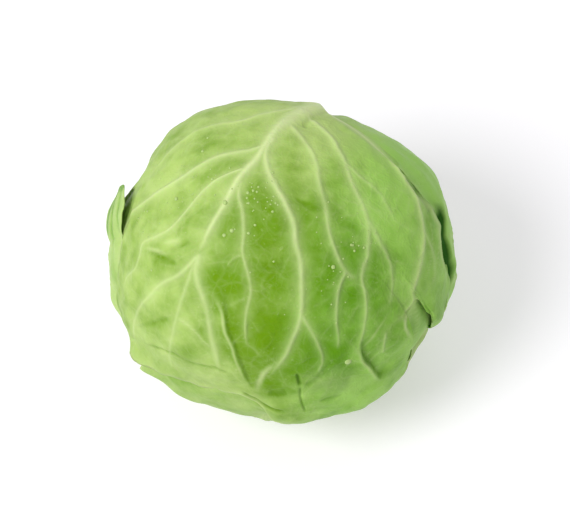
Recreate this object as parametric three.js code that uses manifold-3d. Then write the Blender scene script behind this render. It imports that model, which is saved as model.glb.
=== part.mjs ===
// A head of green cabbage, lying on its side on a small flat spot, in millimetres, +Z up.
// +X is its width. The stem end points to +Y and the leaf tips meet at -Y.
// Each wrapper leaf is a thin curved blade with raised ribs, and the leaves lie over each other
// like the scales of a bud. Places on the head are pairs of angles in degrees: "down" from the
// stem (0 at the stem, 180 at the tips) and "round" the stem's axis (0 on top, 90 to the right).
import * as THREE from "three";
import { mergeVertices } from "three/addons/utils/BufferGeometryUtils.js";
import Module from "manifold-3d";

const wasm = await Module();
wasm.setup();

// The head
const HALF_WIDTH = 85;
const HALF_LENGTH = 79;
const HALF_HEIGHT = 83.5;
const CENTRE = new THREE.Vector3(-0.25, 0.9, 84.5);
const FLAT_DROP = 0.3;        // how far the outermost blade is pressed below the table, then trimmed
const UNDERSIDE = -0.5;       // directions steeper than this can reach the table
const STEM_DISH = 7;          // the leaves dip round the stem
const STEM_DISH_REACH = 22;

// The blades, and the layers they lie in
const BLADE = 1.3;
const GAP = 0.4;
const PITCH = BLADE + GAP;
const OUTERMOST = -2 * PITCH; // depth of the outermost leaf: it stands proud of the front leaf
const FACETS = 7;             // subdivisions of the icosahedron that every blade is cut from
const EDGE_POINTS = 48;       // fewest points round a leaf's edge
const RIPPLE = 0.8;           // degrees that the waves of a leaf's edge reach in and out
const RIPPLES = 11;

// The ribs
const RIB_SIDES = 6;
const RIB_SINK = 0.75;        // how deep a rib's middle line lies in the blade
const RIB_STEP = 9;           // degrees between a rib's rings
const RIB_CLEARANCE = 0.8;    // degrees that a rib stops short of the leaf that covers it

// The feathered ribs of the leaves that lie underneath: half-widths and heights from start to end
const FEATHER_MIDRIB = { wide: [10, 1.6], high: [4.5, 1] };
const FEATHER_SIDE_RIB = { wide: [2, 1], high: [1.3, 0.6] };
const FEATHER_FIRST = 0.3;    // share of the midrib before the first pair of side ribs
const FEATHER_SPAN = 0.6;     // share of the midrib that the pairs are spread over
const FEATHER_STAGGER = 3;    // degrees between the two ribs of a pair
const FEATHER_RUN = [10, 24]; // degrees down that a side rib has run at its bend and at its end
const FEATHER_BEND = 0.4;     // share of its reach that a side rib has at its bend

// The stem
const STEM_RADIUS = 14;
const STEM_INNER_RADIUS = 12;
const STEM_FACE = 79.5;       // distance of the cut face from the head's middle
const STEM_ROOT = 50;
const STEM_SIDES = 24;
const STEM_GAP = 0.4;
const STEM_BEVEL = 1;

const LEAF_ROUGHNESS = 0.45;
const HEART_ROUGHNESS = 0.5;
const STEM_ROUGHNESS = 0.7;

const FAR = 400;              // further out than any point of the head
const SAME_PLACE = 1e-4;      // corners this close are one corner

const radians = THREE.MathUtils.degToRad;

function direction([down, round]) {
  const across = Math.sin(radians(down));
  return new THREE.Vector3(
    across * Math.sin(radians(round)), Math.cos(radians(down)), across * Math.cos(radians(round)));
}

const degreesBetween = (a, b) => THREE.MathUtils.radToDeg(a.angleTo(b));

// Broad swellings and hollows of the whole head: place, height and reach in degrees
const SWELLS = [
  { at: [48, -46], height: 3.4, reach: 24 },
  { at: [66, -68], height: -3, reach: 10 },
  { at: [92, -88], height: -1, reach: 10 },
  { at: [121, -104.5], height: 7, reach: 7 },
  { at: [106, -95], height: 1.2, reach: 8 },
  { at: [136, -118], height: 3.5, reach: 12 },
  { at: [160, 165], height: 2.4, reach: 16 },
  { at: [142, 126], height: 3, reach: 14 },
  { at: [117, 101.5], height: -5, reach: 6 },
  { at: [82, 82], height: -2.5, reach: 16 },
  { at: [45, 46], height: -4.5, reach: 20 },
];

const swells = SWELLS.map((swell) => ({ ...swell, towards: direction(swell.at) }));

// Distance from the middle to the surface of a layer that lies "depth" below the head's outside
function layerRadius(towards, depth, lift = 0) {
  let radius = 1 / Math.hypot(
    towards.x / HALF_WIDTH, towards.y / HALF_LENGTH, towards.z / HALF_HEIGHT);
  for (const swell of swells) {
    radius += swell.height * Math.exp(-((degreesBetween(towards, swell.towards) / swell.reach) ** 2));
  }
  const down = THREE.MathUtils.radToDeg(Math.acos(THREE.MathUtils.clamp(towards.y, -1, 1)));
  radius += lift - depth - STEM_DISH * Math.exp(-((down / STEM_DISH_REACH) ** 2));
  if (towards.z < UNDERSIDE) {
    radius = Math.min(radius, (CENTRE.z + FLAT_DROP - depth + OUTERMOST) / -towards.z);
  }
  return radius;
}

// A leaf's free edge may stand off the head: the lift along a line of places
function liftAt(towards, lifts) {
  let lift = 0;
  for (const { along, height, reach } of lifts) {
    const nearest = Math.min(...along.map((place) => degreesBetween(towards, direction(place))));
    lift = Math.max(lift, height * Math.exp(-((nearest / reach) ** 2)));
  }
  return lift;
}

function solid(geometry) {
  geometry.deleteAttribute("normal");
  geometry.deleteAttribute("uv");
  const merged = mergeVertices(geometry, SAME_PLACE);
  return new wasm.Manifold(new wasm.Mesh({
    numProp: 3,
    vertProperties: new Float32Array(merged.attributes.position.array),
    triVerts: new Uint32Array(merged.index.array),
  }));
}

// The whole head, filled, with its surface at one layer
function filledHead(depth, lifts = []) {
  const geometry = new THREE.IcosahedronGeometry(1, FACETS);
  const position = geometry.attributes.position;
  const towards = new THREE.Vector3();
  for (let i = 0; i < position.count; i++) {
    towards.fromBufferAttribute(position, i).normalize();
    const radius = layerRadius(towards, depth, liftAt(towards, lifts));
    position.setXYZ(i, ...towards.multiplyScalar(radius).toArray());
  }
  return solid(geometry);
}

// Everything inside a leaf's outline, from the head's middle outwards. "spread" moves the outline
// out from the leaf's own middle by that many degrees.
function insideOutline(leaf, spread = 0) {
  const middle = direction(leaf.middle);
  const edge = new THREE.CatmullRomCurve3(leaf.outline.map(direction), true, "centripetal");
  const count = Math.max(EDGE_POINTS, 2 * leaf.outline.length);
  const ring = edge.getSpacedPoints(count).slice(0, count);
  const corners = [new THREE.Vector3(), middle.clone().multiplyScalar(2 * FAR)];
  for (const point of ring) {
    const turn = (2 * Math.PI * (corners.length - 2)) / count;
    const outwards = spread + RIPPLE * Math.sin(RIPPLES * turn + 2 * Math.sin(3 * turn));
    corners.push(point.addScaledVector(middle, -radians(outwards)).normalize().multiplyScalar(FAR));
  }
  const faces = [];
  for (let i = 0; i < count; i++) {
    const here = 2 + i;
    const next = 2 + ((i + 1) % count);
    faces.push(0, next, here, 1, here, next);
  }
  const geometry = new THREE.BufferGeometry();
  geometry.setAttribute("position", new THREE.Float32BufferAttribute(
    corners.flatMap((corner) => corner.toArray()), 3));
  geometry.setIndex(faces);
  return solid(geometry);
}

// One rib: a tapered rod of half-width "wide" and height "high" over the blade, along a line of
// places on the leaf. Both are [at its start, at its end].
function ribSolid({ along, wide, high }, leaf) {
  const line = new THREE.CatmullRomCurve3(along.map(direction), false, "centripetal");
  const steps = Math.max(2, Math.round(THREE.MathUtils.radToDeg(line.getLength()) / RIB_STEP));
  const geometry = new THREE.CylinderGeometry(1, 1, 1, RIB_SIDES, steps);
  const position = geometry.attributes.position;
  const outwards = new THREE.Vector3();
  const sideways = new THREE.Vector3();
  for (let i = 0; i < position.count; i++) {
    const share = THREE.MathUtils.clamp(0.5 - position.getY(i), 0, 1);
    outwards.copy(line.getPointAt(share)).normalize();
    sideways.crossVectors(outwards, line.getTangentAt(share)).normalize();
    const width = THREE.MathUtils.lerp(wide[0], wide[1], share);
    const height = THREE.MathUtils.lerp(high[0], high[1], share) + RIB_SINK;
    const rise = position.getZ(i) > 0 ? position.getZ(i) * height : 0;
    const radius = layerRadius(outwards, leaf.depth, liftAt(outwards, leaf.lifts)) - RIB_SINK + rise;
    const place = outwards.multiplyScalar(radius).addScaledVector(sideways, width * position.getX(i));
    position.setXYZ(i, ...place.toArray());
  }
  return solid(geometry);
}

// A leaf's midrib with side ribs that leave it in pairs, for the leaves that lie underneath
function feather(start, end, pairs, reach) {
  const along = (share) => [
    THREE.MathUtils.lerp(start[0], end[0], share), THREE.MathUtils.lerp(start[1], end[1], share)];
  const ribs = [{ along: [start, along(0.5), end], ...FEATHER_MIDRIB }];
  for (let pair = 0; pair < pairs; pair++) {
    const [down, round] = along(FEATHER_FIRST + FEATHER_SPAN * (pair / pairs));
    for (const side of [-1, 1]) {
      const leave = down + FEATHER_STAGGER * side;
      ribs.push({
        along: [[leave, round], [leave + FEATHER_RUN[0], round + side * reach * FEATHER_BEND],
          [leave + FEATHER_RUN[1], round + side * reach]],
        ...FEATHER_SIDE_RIB,
      });
    }
  }
  return ribs;
}

// The wrapper leaves, outermost first. An outline starts at the stem, runs out along the side
// with the smaller "round", over the tip, and comes back along the other side.
const LEAVES = [
  {
    name: "leaf_right",
    colour: 0x8db85a,
    depth: OUTERMOST,
    middle: [75, 120],
    outline: [[13, 75], [24, 45], [40, 25], [52, 22], [62, 27], [70, 34], [76, 41], [81, 49],
      [84, 57], [86, 67], [89, 71], [94, 71], [97, 76], [98, 84], [99, 92], [102, 97],
      [107, 102], [107, 107], [103, 113], [101, 122], [105, 135], [113, 148], [119, 162],
      [118, 176], [110, 190], [98, 200], [82, 206], [64, 209], [46, 207], [32, 198],
      [20, 180], [13, 150]],
    lifts: [{ along: [[84, 60], [88, 70], [95, 72], [98, 84]], height: 2, reach: 8 }],
    ribs: feather([11.6, 115], [122, 132], 5, 44),
  },
  {
    name: "leaf_left",
    colour: 0x9cc464,
    depth: -PITCH,
    middle: [75, -128],
    outline: [[13, -150], [26, -180], [42, -195], [60, -202], [78, -203], [95, -200],
      [110, -192], [122, -180], [128, -165], [130, -148], [126, -132], [119, -119],
      [114, -108], [110, -100], [107, -92], [104, -83], [100, -75], [95, -68], [91, -60],
      [87, -56], [82, -56], [79, -61], [76, -72], [72, -82], [66, -86], [54, -81],
      [40, -74], [28, -67], [13, -72]],
    lifts: [{ along: [[80, -60], [85, -58], [90, -62]], height: 7.5, reach: 10 }],
    ribs: feather([11.6, -110], [120, -130], 5, 44),
  },
  {
    name: "leaf_front",
    colour: 0x98bd58,
    depth: 0,
    middle: [95, 0],
    outline: [[13, -5], [24, -40], [38, -68], [55, -88], [75, -100], [95, -108], [106, -110],
      [113, -106], [118, -102], [124, -100], [132, -99], [140, -96], [148, -96], [156, -93],
      [162, -87], [166, -84], [169, -90], [172, -113], [171, -143], [167, -163], [162, -175],
      [157, 174], [153, 159], [149, 146], [145, 135], [140, 126], [136, 120], [130, 115],
      [123, 112], [121, 105], [123, 95], [126, 85], [127, 77], [125, 64], [121, 61],
      [118, 68], [119, 76], [118, 84], [115, 92], [112, 99], [106, 104], [98, 108], [85, 110],
      [68, 108], [50, 100], [34, 88], [20, 70], [13, 50]],
    lifts: [{ along: [[118, 76], [117, 84], [114, 92]], height: 2, reach: 6 },
      { along: [[169, -160], [164, 176]], height: 2.8, reach: 8 }],
    ribs: [
      { along: [[11.6, 24], [35, 21], [53, 14], [61, 5], [71, -1], [84, -9], [94, -17],
        [105, -24], [116, -33]], wide: [8, 1.5], high: [4, 1.1] },
      { along: [[119, -25], [131, -26], [150, -31], [160, -37], [166, -46]], wide: [1.2, 2],
        high: [0.8, 1.6] },
      { along: [[116, -33], [118, -50], [120, -79]], wide: [1.4, 1], high: [1, 0.5] },
      { along: [[117, -34], [128, -49], [135, -66], [139, -85]], wide: [1.4, 1], high: [1, 0.5] },
      { along: [[79, -5], [82, -22], [88, -45], [97, -66]], wide: [1.8, 1], high: [1.2, 0.6] },
      { along: [[56, 6], [66, -24], [78, -49]], wide: [1.8, 1], high: [1.2, 0.6] },
      { along: [[90, -18], [101, -40], [111, -70]], wide: [1.5, 1], high: [1, 0.5] },
      { along: [[78, -4], [92, -3], [108, 3], [133, 9], [148, 7]], wide: [1.9, 1.2], high: [1.3, 0.6] },
      { along: [[68, 4], [86, 11], [108, 15], [122, 26], [141, 30]], wide: [1.7, 1], high: [1.1, 0.6] },
      { along: [[59, 9], [79, 19], [103, 29], [120, 31], [142, 48]], wide: [1.9, 1], high: [1.2, 0.6] },
      { along: [[57, 22], [75, 38], [97, 53], [121, 61]], wide: [1.8, 1], high: [1.2, 0.6] },
    ],
  },
  {
    name: "leaf_under",
    colour: 0xa5c66e,
    depth: PITCH,
    middle: [105, 160],
    outline: [[13, 140], [24, 112], [40, 98], [60, 94], [80, 96], [98, 102], [114, 106],
      [128, 102], [139, 88], [148, 64], [155, 30], [156, -10], [150, -42], [142, -62],
      [134, -78], [128, -92], [124, -106], [118, -122], [108, -138], [95, -150], [78, -160],
      [60, -166], [42, -170], [26, -176], [13, -180]],
    lifts: [],
    ribs: feather([11.6, 160], [150, 172], 6, 40),
  },
];

// The inner leaves whose edges stand up from the heart
const INNER_LEAVES = [
  { middle: [95, 60], outline: [[16, 40], [50, 0], [95, -10], [135, 10], [158, 60], [140, 110],
    [95, 125], [50, 120], [16, 90]] },
  { middle: [95, -70], outline: [[16, -100], [50, -130], [95, -135], [140, -120], [160, -70],
    [135, -22], [95, -14], [50, -20], [16, -50]] },
];

function mesh(name, body, colour, roughness) {
  const { vertProperties, triVerts } = body.getMesh();
  const geometry = new THREE.BufferGeometry();
  geometry.setAttribute("position", new THREE.BufferAttribute(vertProperties, 3));
  geometry.setIndex(new THREE.BufferAttribute(triVerts, 1));
  geometry.computeVertexNormals();
  const material = new THREE.MeshStandardMaterial({ color: colour, roughness, metalness: 0 });
  const made = new THREE.Mesh(geometry, material);
  made.name = name;
  made.position.copy(CENTRE);
  return made;
}

const joined = (bodies) => bodies.reduce((whole, body) => whole.add(body));

function leafBody(leaf, outerLeaves) {
  const blade = insideOutline(leaf)
    .intersect(filledHead(leaf.depth, leaf.lifts))
    .subtract(filledHead(leaf.depth + BLADE, leaf.lifts));
  let ribs = joined(leaf.ribs.map((rib) => ribSolid(rib, leaf)));
  ribs = ribs.intersect(insideOutline(leaf, -RIB_CLEARANCE));
  for (const outer of outerLeaves) ribs = ribs.subtract(insideOutline(outer, RIB_CLEARANCE));
  return blade.add(ribs).subtract(table).subtract(stemBody(STEM_GAP));
}

const table = solid(new THREE.BoxGeometry(FAR, FAR, FAR).translate(0, 0, -CENTRE.z - FAR / 2));

function stemBody(extra) {
  const outline = [[0, STEM_ROOT - extra], [STEM_INNER_RADIUS + extra, STEM_ROOT - extra],
    [STEM_RADIUS + extra, STEM_FACE - STEM_BEVEL], [STEM_RADIUS - STEM_BEVEL + extra, STEM_FACE],
    [0, STEM_FACE]];
  return solid(new THREE.LatheGeometry(
    outline.map(([radius, along]) => new THREE.Vector2(radius, along)), STEM_SIDES));
}

const head = new THREE.Group();

LEAVES.forEach((leaf, layer) => {
  head.add(mesh(leaf.name, leafBody(leaf, LEAVES.slice(0, layer)), leaf.colour, LEAF_ROUGHNESS));
});

const innerLeaves = INNER_LEAVES.map((leaf) => insideOutline(leaf));
const heart = joined(innerLeaves).intersect(filledHead(2 * PITCH))
  .add(filledHead(3 * PITCH))
  .subtract(stemBody(STEM_GAP));
head.add(mesh("heart", heart, 0xb9cf8a, HEART_ROUGHNESS));

head.add(mesh("stem", stemBody(0), 0xd6dcb0, STEM_ROUGHNESS));

export default head;
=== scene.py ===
import math

import bmesh
import bpy
import numpy as np
from mathutils import Matrix, Vector


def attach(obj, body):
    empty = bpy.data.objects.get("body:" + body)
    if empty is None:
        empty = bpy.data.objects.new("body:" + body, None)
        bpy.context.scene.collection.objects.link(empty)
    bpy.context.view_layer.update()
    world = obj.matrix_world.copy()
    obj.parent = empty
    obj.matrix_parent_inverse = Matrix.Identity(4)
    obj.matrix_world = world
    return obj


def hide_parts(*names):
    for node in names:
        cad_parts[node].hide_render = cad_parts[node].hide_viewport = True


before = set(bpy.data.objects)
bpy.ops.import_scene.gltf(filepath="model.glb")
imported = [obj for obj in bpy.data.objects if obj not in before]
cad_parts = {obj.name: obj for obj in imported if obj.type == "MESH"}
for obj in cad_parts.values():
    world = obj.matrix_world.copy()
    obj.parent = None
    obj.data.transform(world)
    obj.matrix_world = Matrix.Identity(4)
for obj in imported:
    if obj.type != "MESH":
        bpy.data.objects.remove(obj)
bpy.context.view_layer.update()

# --------------------------------------------------------
# Cut stem: the woody stalk that all the leaves grow from, sawn off level with them.
# Pale fibrous flesh with a ring of darker bundles under the skin and a soft pith in the middle.
# --------------------------------------------------------
MM = 0.001
CENTRE = np.array([-0.25, 0.9, 84.5])  # middle of the head, mm
STEM_PROFILE = [(0, 50), (12, 50), (12.6, 58), (13.2, 66), (13.8, 73), (14, 77.6), (13.8, 78.8),
                (13.1, 79.4), (11.8, 79.5), (10.4, 79.1), (9.2, 79.2), (8.0, 79.35), (6.4, 79.2),
                (4.2, 79.0), (2.0, 79.15), (0, 79.2)]     # radius, distance from the middle
STEM_STEPS = 160
SKIN_FROM, SKIN_DEPTH = 9, 4  # where its bark begins to show as ridges, mm
SAWN = 78  # beyond this it is the sawn face, mm


class Wire:
    """A socket in a material's node tree; arithmetic on it adds Math nodes."""

    def __init__(self, tree, socket=None):
        self.tree = tree
        self.socket = socket

    def node(self, kind, settings, inputs, output=0):
        made = self.tree.nodes.new(kind)
        for name, value in settings.items():
            setattr(made, name, value)
        for name, value in inputs.items():
            if isinstance(value, Wire):
                self.tree.links.new(value.socket, made.inputs[name])
            else:
                made.inputs[name].default_value = value
        return Wire(self.tree, made.outputs[output])

    def math(self, operation, *values):
        return self.node("ShaderNodeMath", {"operation": operation}, dict(enumerate(values)))

    def __add__(self, other):
        return self.math("ADD", self, other)

    def __sub__(self, other):
        return self.math("SUBTRACT", self, other)

    def __mul__(self, other):
        return self.math("MULTIPLY", self, other)

    def __truediv__(self, other):
        return self.math("DIVIDE", self, other)

    def vector(self, operation, *values, output=0):
        """Arithmetic on a whole vector, such as a place or a colour."""
        return self.node("ShaderNodeVectorMath", {"operation": operation},
                         dict(enumerate((self, *values))), output)

    def noise(self, scale, detail, output=0):
        """Noise over the places on this wire: one value, or with output 1 three."""
        return self.node("ShaderNodeTexNoise", {},
                         {"Vector": self, "Scale": scale, "Detail": detail}, output)

    def between(self, low, high):
        """0 below low, 1 above high, smooth between; low may be the greater of the two."""
        return self.node("ShaderNodeMapRange", {"interpolation_type": "SMOOTHSTEP"},
                         {"Value": self, "From Min": low, "From Max": high})

    def mix(self, zero, one):
        """A colour: zero where this wire is 0, one where it is 1."""
        return self.node("ShaderNodeMix", {"data_type": "RGBA"},
                         {"Factor": self, 6: zero, 7: one}, 2)


def new_material(name):
    """A material with an empty tree: the material, and a wire to start its nodes from."""
    material = bpy.data.materials.new(name)
    material.use_nodes = True
    material.node_tree.nodes.clear()
    return material, Wire(material.node_tree)


def finish_surface(start, colour, roughness, settings):
    """The closing shader: its varying colour and roughness, and its other sockets by name."""
    shader = start.node("ShaderNodeBsdfPrincipled", {}, {
        "Base Color": colour, "Roughness": roughness, **settings})
    out = start.tree.nodes.new("ShaderNodeOutputMaterial")
    start.tree.links.new(shader.socket, out.inputs["Surface"])


def new_piece(name, mesh, material, replaced):
    """A finished piece at the origin, riding on the head."""
    piece = bpy.data.objects.new(name, mesh)
    bpy.context.collection.objects.link(piece)
    mesh.materials.append(material)
    mesh.shade_smooth()
    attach(piece, "root")
    if replaced:
        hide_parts(replaced)


def mesh_from(name, bm):
    """What bm holds, in mm, as a mesh in metres."""
    bmesh.ops.scale(bm, vec=(MM, MM, MM), verts=bm.verts)
    mesh = bpy.data.meshes.new(name)
    bm.to_mesh(mesh)
    bm.free()
    return mesh


stem_bm = bmesh.new()
rim = [stem_bm.verts.new((radius, along, 0)) for radius, along in STEM_PROFILE]
profile = [stem_bm.edges.new(pair) for pair in zip(rim, rim[1:])]
bmesh.ops.subdivide_edges(stem_bm, edges=profile, cuts=2, use_grid_fill=False)
bmesh.ops.spin(stem_bm, geom=stem_bm.verts[:] + stem_bm.edges[:], axis=(0, 1, 0), cent=(0, 0, 0),
               angle=2 * math.pi, steps=STEM_STEPS, use_merge=True)
bmesh.ops.remove_doubles(stem_bm, verts=stem_bm.verts, dist=0.01)
bmesh.ops.recalc_face_normals(stem_bm, faces=stem_bm.faces)
for vert in stem_bm.verts:
    away = math.hypot(vert.co.x, vert.co.z)
    turn = math.atan2(vert.co.z, vert.co.x)
    if away > 0.1:
        skin = min(1, max(0, (away - SKIN_FROM) / SKIN_DEPTH))
        ridges = (0.025 * math.sin(5 * turn + 1) + 0.018 * math.sin(9 * turn + 0.06 * vert.co.y)
                  + 0.006 * math.sin(37 * turn))
        vert.co.x *= 1 + skin * ridges
        vert.co.z *= 1 + skin * ridges
    if vert.co.y > SAWN:
        vert.co.y += 0.10 * math.sin(3 * vert.co.x + 1) + 0.07 * math.sin(1.1 * vert.co.z)
bmesh.ops.transform(stem_bm, matrix=Matrix.Translation(Vector(CENTRE)), verts=stem_bm.verts)
stem_mesh = mesh_from("stem_cut", stem_bm)

stem_flesh, start = new_material("stem_flesh")
place = start.node("ShaderNodeTexCoord", {}, {}, 3)
from_axis = place.vector("SUBTRACT", tuple(CENTRE * MM)).vector("MULTIPLY", (1, 0, 1))
away = from_axis.vector("LENGTH", output=1) / MM
grain = place.noise(420, 5)
blotch = place.noise(90, 3)
wobbly = away + (blotch - 0.5) * 3.0
bundles = wobbly.between(8.6, 10.2) * wobbly.between(12.8, 11.2)
dots = start.node("ShaderNodeTexVoronoi", {"feature": "F1"}, {"Vector": place, "Scale": 620})
flesh = grain.mix((0.63, 0.66, 0.42, 1), (0.76, 0.76, 0.56, 1))
flesh = (bundles * dots.between(0.55, 0.2) * 0.8).mix(flesh, (0.42, 0.45, 0.20, 1))
flesh = (wobbly.between(11.9, 13.6) * 0.75).mix(flesh, (0.40, 0.50, 0.17, 1))
flesh = (blotch.between(0.56, 0.72) * 0.45).mix(flesh, (0.48, 0.38, 0.19, 1))
stem_bump = start.node("ShaderNodeBump", {}, {
    "Strength": 0.5, "Distance": 0.0005, "Height": grain + dots * 0.6 + bundles * 0.5})
finish_surface(start, flesh, grain * 0.2 + 0.55, {
    "Normal": stem_bump, "Subsurface Weight": 0.1, "Subsurface Radius": (1.0, 0.9, 0.4),
    "Subsurface Scale": 0.003})
new_piece("cut_stem_end", stem_mesh, stem_flesh, "stem")

# --------------------------------------------------------
# Heart: the tight ball of pale inner leaves that the wrapper leaves lie on, grown from the stem.
# Two of them are raised on it; one shows through the tear in the front leaf.
# --------------------------------------------------------
HALF = np.array([85, 79, 83.5])  # half width, length and height of the head, mm
# Where the head is fuller, or flatter, than an even round: place, height in mm, reach in degrees
SWELLS = [
    ((48, -46), 3.4, 24), ((66, -68), -3, 10), ((92, -88), -1, 10), ((122.5, -105.5), 8, 6.5),
    ((102, -97), 2.4, 7), ((136, -116), 4.6, 12), ((160, 165), 2.4, 16), ((146, 118), 4.4, 11),
    ((126, 112), 2, 8), ((117, 101.5), -6, 6), ((82, 82), -2.5, 16), ((45, 46), -4.5, 20),
]
STEM_DISH, STEM_DISH_REACH = 7, 22
OUTERMOST = -3.4  # depth of the outermost leaf, mm
PITCH = 1.7  # between one layer of leaves and the next
BLADE, MARGIN = 1.2, 0.55  # thickness of a leaf, and of its free edge
THINNING = 7  # how far in from its edge a leaf thins, mm


def towards(places):
    """Unit vectors to places on the head, in degrees down from the stem and round its axis."""
    down, around = np.radians(np.atleast_2d(np.asarray(places, float))).T
    aside = np.sin(down)
    return np.stack([aside * np.sin(around), np.cos(down), aside * np.cos(around)], 1)


def degrees_from(out, place):
    return np.degrees(np.arccos(np.clip(out @ towards(place)[0], -1, 1)))


def bell(value):
    """1 at 0, falling smoothly to almost nothing at 2 and at -2."""
    return np.exp(-value ** 2)


def hump(out, place, reach):
    """A bell on the head round a place, of that reach in degrees."""
    return bell(degrees_from(out, place) / reach)


def step(value, low, high):
    """0 at low, 1 at high, smooth between; low may be the greater of the two."""
    share = np.clip((value - low) / (high - low), 0, 1)
    return share * share * (3 - 2 * share)


def head_radius(out, depth):
    """Distance from the middle to a layer of leaves that lies "depth" below the outside."""
    radius = 1 / np.sqrt(((out / HALF) ** 2).sum(1)) - depth
    for place, height, reach in SWELLS:
        radius += height * hump(out, place, reach)
    return radius - STEM_DISH * hump(out, (0, 0), STEM_DISH_REACH)


def above_table(out, radius, depth):
    """The same radius, flattened where the layer would reach below the resting spot."""
    floor = (CENTRE[2] - depth + OUTERMOST) / np.maximum(-out[:, 2], 0.3)
    return np.where(out[:, 2] < -0.5, np.minimum(radius, floor), radius)


def smooth_line(places, closed=False, steps=8):
    """Unit vectors along a smooth line through places on the head."""
    points = towards(places)
    ends = (points[-1:], points[:2]) if closed else (2 * points[:1] - points[1:2],
                                                     2 * points[-1:] - points[-2:-1])
    points = np.concatenate([ends[0], points, ends[1]])
    if closed:
        points = points[:len(places) + 3]
    share = np.linspace(0, 1, steps, endpoint=False)[:, None]
    line = []
    for a, b, c, d in zip(points, points[1:], points[2:], points[3:]):
        ab, bc, cd = (math.sqrt(np.linalg.norm(q - p)) + 1e-6 for p, q in ((a, b), (b, c), (c, d)))
        leave = ((b - a) / ab - (c - a) / (ab + bc) + (c - b) / bc) * bc
        arrive = ((c - b) / bc - (d - b) / (bc + cd) + (d - c) / cd) * bc
        line.append(b + share * leave + share ** 2 * (3 * (c - b) - 2 * leave - arrive)
                    + share ** 3 * (2 * (b - c) + leave + arrive))
    line = np.concatenate(line + ([] if closed else [points[-2:-1]]))
    return line / np.linalg.norm(line, axis=1, keepdims=True)


def beside(out, places, reach):
    """Which points lie within reach (mm) of a line of places, how far beside it they are
    (mm, positive to the left of its run, seen from outside) and how far along it (0 to 1)."""
    line = smooth_line(places)
    middle = line.mean(0) / np.linalg.norm(line.mean(0))
    widest = np.arccos(np.clip((line @ middle).min(), -1, 1)) + reach / HALF[2]
    near = np.flatnonzero(out @ middle > math.cos(min(widest, math.pi)))
    spots = out[near]
    best = np.full(len(near), np.inf)
    side, along = np.zeros(len(near)), np.zeros(len(near))
    for index, (a, b) in enumerate(zip(line, line[1:])):
        run = b - a
        share = np.clip((spots - a) @ run / (run @ run), 0, 1)
        gap = np.linalg.norm(spots - (a + share[:, None] * run), axis=1)
        closer = gap < best
        best[closer] = gap[closer]
        side[closer] = np.sign(spots[closer] @ np.cross(a, run))
        along[closer] = (index + share[closer]) / (len(line) - 1)
    inside = best * HALF[2] < reach
    return near[inside], (best * side * HALF[2])[inside], along[inside]


def polar_frame(pole):
    """Unit vectors at a leaf's middle: outwards, east, and north towards the stem."""
    out = towards(pole)[0]
    north = np.array([0, 1, 0]) - out * out[1]
    north /= np.linalg.norm(north)
    return out, np.cross(north, out), north


def edge_ring(pole, outline, count, ripple, seed):
    """A leaf's edge as points in the flat plane of degrees about its middle, evenly stepped."""
    _, east, north = polar_frame(pole)
    line = smooth_line(outline, closed=True, steps=24)
    off = degrees_from(line, pole)
    bearing = np.unwrap(np.arctan2(line @ east, line @ north))
    flat = np.stack([off * np.sin(bearing), off * np.cos(bearing)], 1)
    flat = np.concatenate([flat, flat[:1]])
    angle = np.unwrap(np.arctan2(flat[:, 1], flat[:, 0]))
    walked = np.concatenate([[0], np.cumsum(np.linalg.norm(np.diff(flat, axis=0), axis=1))])
    share = 0.5 * walked / walked[-1] + 0.5 * (angle - angle[0]) / (angle[-1] - angle[0])
    share = np.maximum.accumulate(share) + np.arange(len(share)) * 1e-9
    begin = (angle[0] / (2 * math.pi)) % 1
    turns = np.sign(angle[-1] - angle[0])
    want = np.arange(count) / count
    at = ((want - begin) * turns) % 1
    ring = np.stack([np.interp(at, share, flat[:, axis]) for axis in (0, 1)], 1)
    rng = np.random.default_rng(seed)
    turn = 2 * math.pi * want
    wave = sum(rng.uniform(0.5, 1) * np.sin(rate * turn + rng.uniform(0, 6.3))
               for rate in (7, 11, 17, 23, 38, 61)) * 0.35
    return ring * (1 + ripple * wave / np.linalg.norm(ring, axis=1))[:, None]


EDGE_SOFTENING = 0.035  # how far in its edge still shapes a leaf's grid


def soften(ring, reach):
    """A closed ring of points, smoothed over a share of its length."""
    count = len(ring)
    offset = np.minimum(np.arange(count), count - np.arange(count)) / count
    kernel = np.fft.rfft(bell(offset / reach) / bell(offset / reach).sum())
    return np.stack([np.fft.irfft(np.fft.rfft(ring[:, axis]) * kernel, count)
                     for axis in (0, 1)], 1)


def spread_points(verts, pole, ring):
    """Square grid points laid out inside a leaf's edge: directions, and mm in from the edge."""
    flat = np.array([vert.co[:2] for vert in verts])
    x, y = flat.T
    t = np.maximum(np.abs(x), np.abs(y))
    wide = np.abs(x) >= np.abs(y)
    divide_x, divide_y = np.where(wide & (x != 0), x, 1), np.where(wide, 1, y)
    angle = np.where(wide, y / divide_x * math.pi / 4 + np.where(x < 0, math.pi, 0),
                     math.pi / 2 - x / divide_y * math.pi / 4 + np.where(y < 0, math.pi, 0))
    at = (angle / (2 * math.pi) % 1) * len(ring)

    steps = np.arange(len(ring) + 1)
    edge, rounded = (np.stack([np.interp(at, steps, np.append(table[:, axis], table[0, axis]))
                               for axis in (0, 1)], 1)
                     for table in (ring, soften(ring, EDGE_SOFTENING)))
    close = np.clip((t - 0.25) / 0.75, 0, 1) ** 1.6
    plane = rounded * (0.8 * t + 0.2 * t ** 3)[:, None] + (edge - rounded) * close[:, None]
    off = np.radians(np.linalg.norm(plane, axis=1))
    unit = plane / np.maximum(np.linalg.norm(plane, axis=1), 1e-9)[:, None]
    middle, east, north = polar_frame(pole)
    out = (np.cos(off)[:, None] * middle
           + np.sin(off)[:, None] * (unit[:, :1] * east + unit[:, 1:] * north))
    margin = (1 - t) * np.linalg.norm(edge, axis=1) * math.pi / 180 * HALF[2]
    return out, margin


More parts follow.
